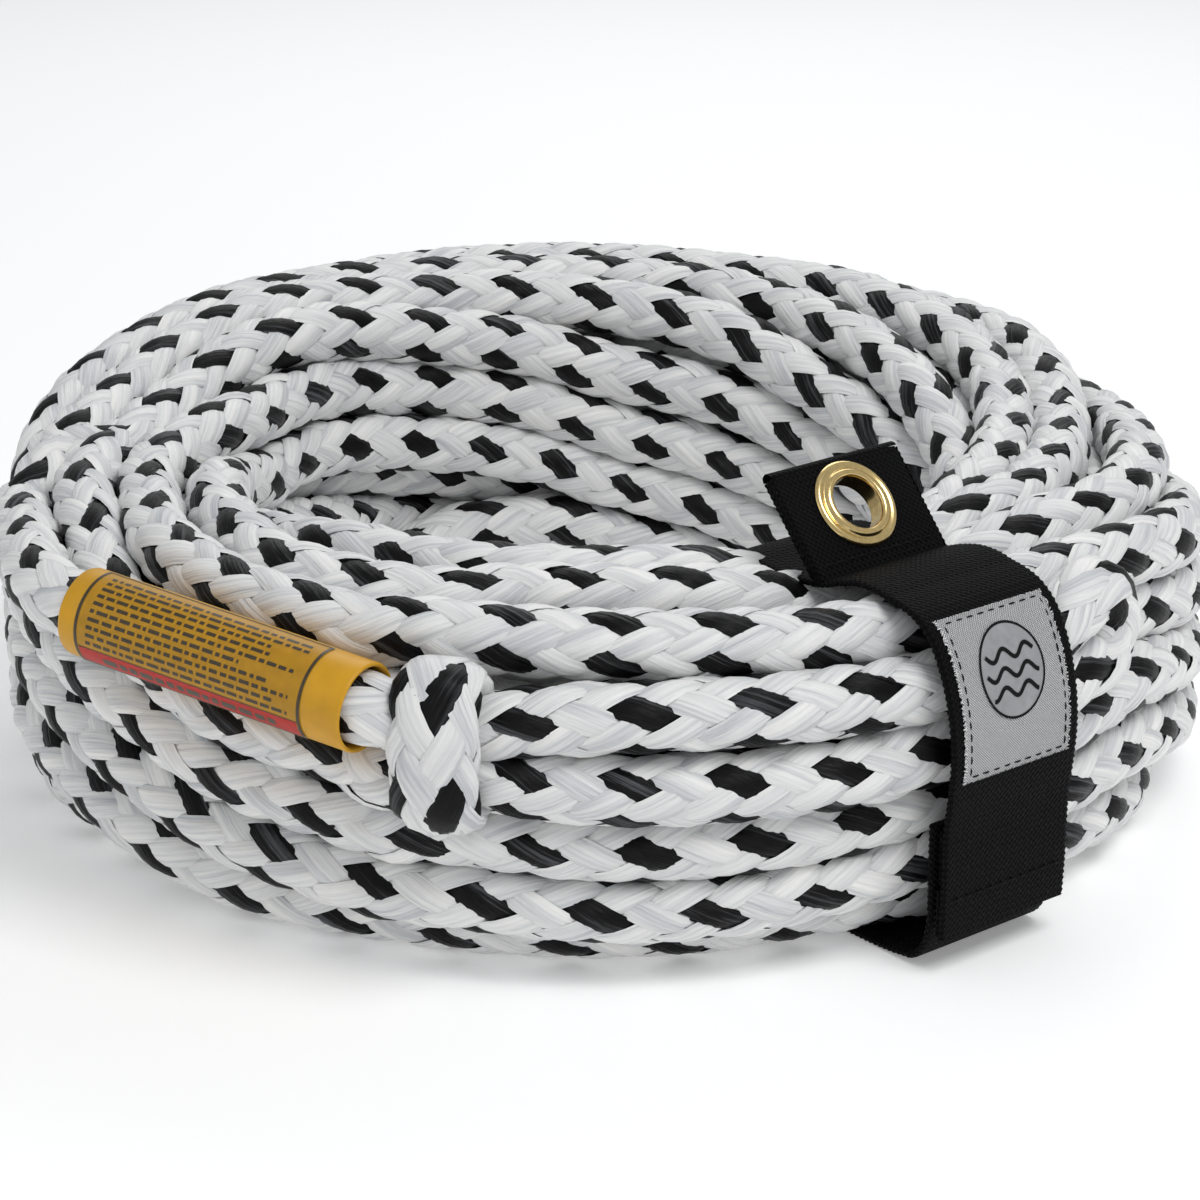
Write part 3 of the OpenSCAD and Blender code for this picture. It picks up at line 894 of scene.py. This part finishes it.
def make_tab():
    build = Build()
    for side in (1, -1):
        pts, uv = tab_face(side, HOLE_R + 0.9)
        faces = grid_faces(pts.shape[0], pts.shape[1], True)
        build.add(tab_place(pts), faces if side < 0 else faces[:, ::-1], uv)
    # the fold over the top
    half = WEB_WIDE / 2
    xs = np.linspace(-half, half, 60)
    arc = np.linspace(-pi / 2, pi / 2, 13)
    fold, fuv = [], []
    for a in arc:
        wave = 0.05 * sin(2 * pi * a)
        fold.append([[x, TAB_LONG - 1.5 + (1.5 + wave) * cos(a), (1.5 + wave) * sin(a)] for x in xs])
        fuv.append([[x, TAB_LONG - 1.5 + 1.5 * a] for x in xs])
    build.add(tab_place(np.array(fold)), grid_faces(len(arc), len(xs)), fuv)
    # sides and foot, closing the two layers
    ys = np.arange(-2.4, TAB_LONG - 1.4, 0.4)
    for sign in (1, -1):
        through = np.linspace(-1.4, 1.4, 7)
        strip = [[[sign * (half + 0.16 * sin(2 * pi * y / WEAVE)), y, z] for z in through] for y in ys]
        uv = [[[half + z, y] for z in through] for y in ys]
        f = grid_faces(len(ys), 7)
        build.add(tab_place(np.array(strip)), f if sign > 0 else f[:, ::-1], uv)
    tab = build.piece("tab_web", WEB)
    dress(tab, "tab", "webbing_black", "grommet_tab")
    stitches = Build()
    up = tab_place([0, 0, 1]) - tab_place([0, 0, 0])
    for side in (1, -1):
        stitch_line(stitches, tab_place([-17.5, 0.7, side * 1.52]), tab_place([17.5, 0.7, side * 1.52]),
                    side * up, 3.3, 2.3, 0.2)
    dress(stitches.piece("tab_thread", THREAD), "tab", "thread_black", "tab_stitching")


def lathe(name, profile, place, material, sides=96):
    """A turned piece from [radius, height] pairs."""
    prof, _ = spline(np.array(profile, float), 0.16)
    a = np.arange(sides) * 2 * pi / sides
    r = prof[:, 0][:, None]
    pts = np.stack([r * np.cos(a), r * np.sin(a), np.repeat(prof[:, 1][:, None], sides, 1)], -1)
    build = Build()
    v = np.arange(len(prof)) * 0.16
    uv = np.stack([np.repeat((a * 7)[None], len(prof), 0), np.repeat(v[:, None], sides, 1)], -1)
    build.add(place(pts), grid_faces(len(prof), sides, True), uv)
    return build.piece(name, material)


def make_grommet():
    def place(p):
        return tab_place(p + np.array([0, GROMMET_UP, 0]))
    # barrel, raised roll, valley and flat flange turned down at its edge
    front = [[7.05, -2.2], [6.5, -2.35], [6.35, -2.0], [6.35, -0.5], [6.35, 1.6], [6.42, 2.3], [6.75, 2.85],
             [7.3, 3.05], [7.95, 2.85], [8.4, 2.4], [8.65, 2.2], [9.1, 2.3], [9.6, 2.42], [10.1, 2.3],
             [10.5, 1.95], [10.7, 1.6], [10.55, 1.5], [9.4, 1.52], [7.05, 1.5], [7.05, -2.2]]
    back = [[7.1, -1.5], [11.0, -1.5], [11.3, -1.7], [11.2, -2.05], [10.4, -2.3], [8.4, -2.35],
            [7.5, -2.6], [7.1, -2.5], [7.1, -1.5]]
    eyelet = lathe("grommet_ring", front, place, BRASS)
    washer = lathe("grommet_back", back, place, BRASS)
    for piece, name in ((eyelet, "grommet_eyelet"), (washer, "grommet_washer")):
        dress(piece, "tab", "brass", name)


# ---------------------------------------------------------------- the woven label
LABEL_WIDE = 31.6


def label_surface():
    """Route of the label's outer face and how to place [across, down] on it at a lift."""
    route, length = spline(np.array(LABEL_ROUTE, float), 0.25)
    norm = flat_normals(route)
    if norm[len(norm) // 2, 0] < 0:
        norm = -norm
    s = np.arange(len(route)) * (length / (len(route) - 1))

    def place(across, down, lift):
        across, down, lift = np.broadcast_arrays(*(np.asarray(x, float) for x in (across, down, lift)))
        u = np.interp(down, s, route[:, 0])
        z = np.interp(down, s, route[:, 1])
        nu = np.interp(down, s, norm[:, 0])
        nz = np.interp(down, s, norm[:, 1])
        return keeper(np.stack([u + nu * (0.83 + lift), WEB_MID + across, z + nz * (0.83 + lift)], -1))
    return place, length


def flat_shape(build, place, outline_points, lift, cell=0.6):
    """Fills a closed outline on the label, as a thin skin, by strips between its edges."""
    p = np.asarray(outline_points, float)
    low, high = p[:, 1].min(), p[:, 1].max()
    rows = np.arange(low, high + cell / 4, cell / 4)
    strips = []
    for y in rows:
        xs = []
        for i in range(len(p)):
            a, b = p[i], p[(i + 1) % len(p)]
            if (a[1] <= y) != (b[1] <= y):
                xs.append(a[0] + (y - a[1]) / (b[1] - a[1]) * (b[0] - a[0]))
        xs.sort()
        strips.append(xs[:2] if len(xs) >= 2 else None)
    good = [(y, x) for y, x in zip(rows, strips) if x is not None]
    if len(good) < 2:
        return
    pts = np.array([[[x0 + (x1 - x0) * t, y] for t in (0, 0.5, 1)] for y, (x0, x1) in good])
    build.add(place(pts[..., 0], pts[..., 1], lift), grid_faces(len(good), 3))


def line_shape(build, place, path_points, wide, lift):
    """A satin-stitched line of even width along a path on the label."""
    p, length = spline(np.asarray(path_points, float), 0.35)
    d = units(np.gradient(p, axis=0))
    side = np.stack([-d[:, 1], d[:, 0]], -1)
    rows = np.stack([p - side * wide / 2, p, p + side * wide / 2], 1)
    lifts = np.array([lift - 0.05, lift + 0.03, lift - 0.05])
    build.add(place(rows[..., 0], rows[..., 1], lifts[None, :]), grid_faces(len(p), 3))


def make_label():
    place, length = label_surface()
    # the woven ground, with a slightly ragged edge
    rng = np.random.default_rng(11)
    cols, rows = 59, 82
    x = np.linspace(-LABEL_WIDE / 2, LABEL_WIDE / 2, cols)
    y = np.linspace(0, length, rows)
    yy, xx = np.meshgrid(y, x, indexing="ij")
    ragged = 0.18 * rng.standard_normal(xx.shape)
    xx = xx.copy()
    yy = yy.copy()
    xx[:, 0] += ragged[:, 0]
    xx[:, -1] += ragged[:, -1]
    yy[0] += ragged[0]
    yy[-1] += ragged[-1]
    lift = 0.36 + 0.10 * np.sin(xx * 0.5 + 1) * np.sin(yy * 0.35)
    lift[:, 0] = lift[:, -1] = lift[0] = lift[-1] = 0.05
    build = Build()
    uv = np.stack([xx, yy], -1)
    build.add(place(xx, yy, lift), grid_faces(rows, cols), uv)
    dress(build.piece("label_ground", SATIN), "flap", "label_white", "woven_label")

    # pale frayed threads along the cut edge
    fray = Build()
    edge = []
    for t in np.arange(0, length, 0.7):
        edge += [(-LABEL_WIDE / 2, t, -1, 0), (LABEL_WIDE / 2, t, 1, 0)]
    for t in np.arange(-LABEL_WIDE / 2, LABEL_WIDE / 2, 0.7):
        edge += [(t, 0.0, 0, -1), (t, length, 0, 1)]
    for ex, ey, dx, dy in edge:
        long = 0.12 + 0.38 * rng.random()
        lean = 0.5 * rng.standard_normal()
        root = [ex - 0.4 * dx, ey - 0.4 * dy]
        tip = [ex + long * dx + lean * dy, ey + long * dy + lean * dx]
        q = np.array([root, tip])
        side = np.array([[dy, dx]]) * 0.11
        pts = np.stack([q - side, q + side], 1)
        lifts = np.array([[0.42, 0.42], [0.18, 0.18]])
        fray.add(place(pts[..., 0], np.clip(pts[..., 1], 0, length), lifts), grid_faces(2, 2))
    dress(fray.piece("label_fray", PALE_THREAD), "flap", "label_white")

    sew = Build()
    inset = 1.5
    hw = LABEL_WIDE / 2 - inset
    ys = np.linspace(inset, length - inset, 14)
    xs = np.linspace(-hw, hw, 10)

    def seam(start, end, pitch):
        half_way = (start[1] + end[1]) / 2
        normal = units(place(0, half_way, 1.0) - place(0, half_way, 0.0))
        stitch_line(sew, place(*start, 0.42), place(*end, 0.42), normal, pitch, 2.05, 0.2, 0.06)
    for x in (-hw, hw):
        for y0, y1 in zip(ys[:-1], ys[1:]):
            seam((x, y0), (x, y1), 2.7)
    for y in (inset, length - inset):
        for x0, x1 in zip(xs[:-1], xs[1:]):
            seam((x0, y), (x1, y), 2.8)
    dress(sew.piece("label_thread", THREAD), "flap", "thread_black", "label_stitching")

    # a plain mark of our own: a disc with three waves
    grey, ink = Build(), Build()
    middle = length * 0.40
    big = 9.2
    turns = np.linspace(0, 2 * pi, 60)[:-1]
    ring = [[big * cos(a), middle + big * 1.1 * sin(a)] for a in turns]
    flat_shape(grey, place, ring, 0.5)
    line_shape(ink, place, ring + ring[:1], 0.55, 0.62)
    for k, dy in enumerate((-3.6, 0.4, 4.4)):
        half = math.sqrt(max(0.1, 1 - (dy / (big * 1.1)) ** 2)) * big - 1.6
        wave = [[x, middle + dy + 1.15 * sin(x * 0.95 + k * 0.6)] for x in np.linspace(-half, half, 30)]
        line_shape(ink, place, wave, 0.95, 0.64)
    for build, name, mat in ((grey, "label_mark_ground", MARK_GREY), (ink, "label_mark_lines", THREAD)):
        piece = build.piece(name, mat)
        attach(piece, "flap")


# ---------------------------------------------------------------- the warning sleeve
SLEEVE_LONG = 75.0


def sleeve_frame():
    """Origin and directions of the sleeve: out from the hank, up, and along it."""
    w = SLEEVE_U
    x = np.cross(w, [0, 0, 1.0])
    x = x / np.linalg.norm(x)
    y = np.cross(x, w)
    origin = SLEEVE_B - w * SLEEVE_LONG + np.array([0, RING_Y, 0])
    return origin, x, y, w


def sleeve_place(angle, along, r):
    """Row-frame millimetres on the sleeve; angle 0 faces out from the hank, 90 faces up."""
    origin, x, y, w = sleeve_frame()
    angle, along, r = np.broadcast_arrays(*(np.asarray(v, float)[..., None] for v in (angle, along, r)))
    a = np.radians(angle)
    return origin + r * (np.cos(a) * x + np.sin(a) * y) + along * w


def skin(build, a0, a1, s0, s1, r, na=None, ns=None):
    """A patch of the sleeve's surface at radius r."""
    na = na or max(2, int(abs(a1 - a0) / 4) + 1)
    ns = ns or max(2, int(abs(s1 - s0) / 6) + 1)
    aa, ss = np.meshgrid(np.linspace(a0, a1, na), np.linspace(s0, s1, ns), indexing="ij")
    build.add(sleeve_place(aa, ss, r), grid_faces(na, ns), np.stack([ss, aa * 0.18], -1))


def make_sleeve():
    # the wall's section, [radius, along], with rounded lips
    prof = np.array([[9.0, 0.5], [9.0, 20], [9.0, 50], [9.0, 74.3], [9.15, 74.85], [9.5, 75.0], [9.85, 74.85],
                     [10.0, 74.4], [10.0, 50], [10.0, 20], [10.0, 0.6], [9.85, 0.15], [9.5, 0.0],
                     [9.15, 0.15], [9.0, 0.5]])
    fine = [prof[0]]
    for a, b in zip(prof[:-1], prof[1:]):
        k = max(1, int(np.linalg.norm(b - a) / 2.5))
        fine += [a + (b - a) * t for t in np.linspace(0, 1, k + 1)[1:]]
    prof = np.array(fine)
    sides = 96
    ang = np.arange(sides) * 360.0 / sides
    rr, aa = np.meshgrid(prof[:, 0], ang, indexing="ij")
    ss = np.repeat(prof[:, 1][:, None], sides, 1)
    rr = rr + 0.07 * np.sin(ss / 7.0 + 1) * np.sin(np.radians(2 * aa + ss * 3))
    build = Build()
    build.add(sleeve_place(aa, ss, rr), grid_faces(len(prof), sides, True), np.stack([ss, aa * 0.18], -1))
    dress(build.piece("sleeve_tube", YELLOW), "sleeve", "sleeve_yellow", "warning_sleeve")

    # printed panel: ground, frame, red band and rows of bars that stand for the small print,
    # each layer a little further out than the one below it
    panel_r, band_r, ink_r, heading_r, film_glint_r, film_r = 10.16, 10.2, 10.23, 10.235, 10.3, 10.34
    first_angle, last_angle = -50.0, 102.0
    base = Build()
    skin(base, first_angle, last_angle, 5.0, 65.0, panel_r, 44, 24)
    panel = base.piece("label_panel", AMBER)
    band_build = Build()
    skin(band_build, first_angle + 3, first_angle + 31, 5.8, 64.2, band_r, 10, 24)
    red = band_build.piece("label_band", RED)
    ink = Build()
    frame_lines = ((first_angle, last_angle, 4.8, 5.6), (first_angle, last_angle, 64.4, 65.2),
                   (first_angle - 1, first_angle + 3, 4.8, 65.2), (last_angle - 3, last_angle, 4.8, 65.2),
                   (first_angle + 31, first_angle + 32.5, 5.6, 64.4))
    for a0, a1, s0, s1 in frame_lines:
        skin(ink, a0, a1, s0, s1, ink_r)
    rng = np.random.default_rng(3)
    row_angle = first_angle + 38.0
    while row_angle < last_angle - 10:
        at = 8.0
        end = 62.0 - 14.0 * rng.random() ** 3
        while at < end:
            long = 0.7 + 2.6 * rng.random()
            skin(ink, row_angle, row_angle + 4.6, at, min(at + long, end), ink_r, 2, 2)
            at += long + 0.55 + 0.35 * rng.random()
        row_angle += 10.4
    heading = first_angle + 17.0
    at = 12.0
    while at < 58:
        long = 1.6 + 2.4 * rng.random()
        skin(ink, heading - 5.4, heading + 5.4, at, at + long, heading_r, 3, 2)
        at += long + 0.8
    for piece in (panel, red, ink.piece("label_print", INK)):
        dress(piece, "sleeve", "print_amber")
    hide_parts("warning_label")

    film_mat, _, sh = new_material("film_clear")
    set_inputs(sh, {"Base Color": (0.5, 0.38, 0.15, 1), "Roughness": 0.2, "Alpha": 0.04,
                    "Specular IOR Level": 0.5})
    film_build = Build()
    skin(film_build, first_angle - 10, last_angle + 6, 3.5, 66.5, film_r, 50, 30)
    dress(film_build.piece("label_film", film_mat), "sleeve", "film_clear", "label_cover")
    # a pale strip along the clear film's edge: painted highlight where the edge catches light
    film_glint_build = Build()
    skin(film_glint_build, first_angle - 11, first_angle - 8.5, 3.5, 66.5, film_glint_r, 3, 30)
    film_glint_mat = plain_material("film_edge_painted_highlight", (0.86, 0.78, 0.5), 0.3)
    dress(film_glint_build.piece("film_edge_painted_highlight", film_glint_mat), "sleeve", "film_clear")


make_keeper()
make_tapes()
make_tab()
make_grommet()
make_label()
make_sleeve()


# ---------------------------------------------------------------- floor and light
def stage_scene():
    floor_mat, _, sh = new_material("floor")
    set_inputs(sh, {"Base Color": (0.94, 0.94, 0.94, 1), "Roughness": 0.9, "Specular IOR Level": 0.1,
                    "Emission Color": (1, 1, 1, 1), "Emission Strength": 0.2})
    size = 4000.0
    floor = make_mesh("floor", [[-size, -size, 0], [size, -size, 0], [size, size, 0], [-size, size, 0]],
                      [[0, 1, 2, 3]], floor_mat, smooth=False)
    world = bpy.data.worlds.new("world")
    scene.world = world
    world.use_nodes = True
    set_inputs(world.node_tree.nodes["Background"], {"Color": (0.96, 0.98, 1.0, 1), "Strength": 0.47})

    def area(name, place, aim, size, power, colour=(1, 1, 1)):
        data = bpy.data.lights.new(name, "AREA")
        data.shape = "SQUARE"
        data.size = size
        data.energy = power
        data.color = colour
        lamp = bpy.data.objects.new(name, data)
        scene.collection.objects.link(lamp)
        lamp.location = place
        lamp.rotation_euler = (Vector(aim) - Vector(place)).to_track_quat("-Z", "Y").to_euler()

    area("key", (0.42, -0.48, 1.0), (0, 0, 0.04), 0.5, 5.7)
    area("fill", (-0.9, -0.6, 0.6), (0, 0, 0.04), 0.8, 0.9)
    area("back", (0.1, 0.9, 0.8), (0, 0, 0.05), 0.7, 2.5)
    scene.view_settings.view_transform = "Standard"
    scene.view_settings.look = "None"


stage_scene()
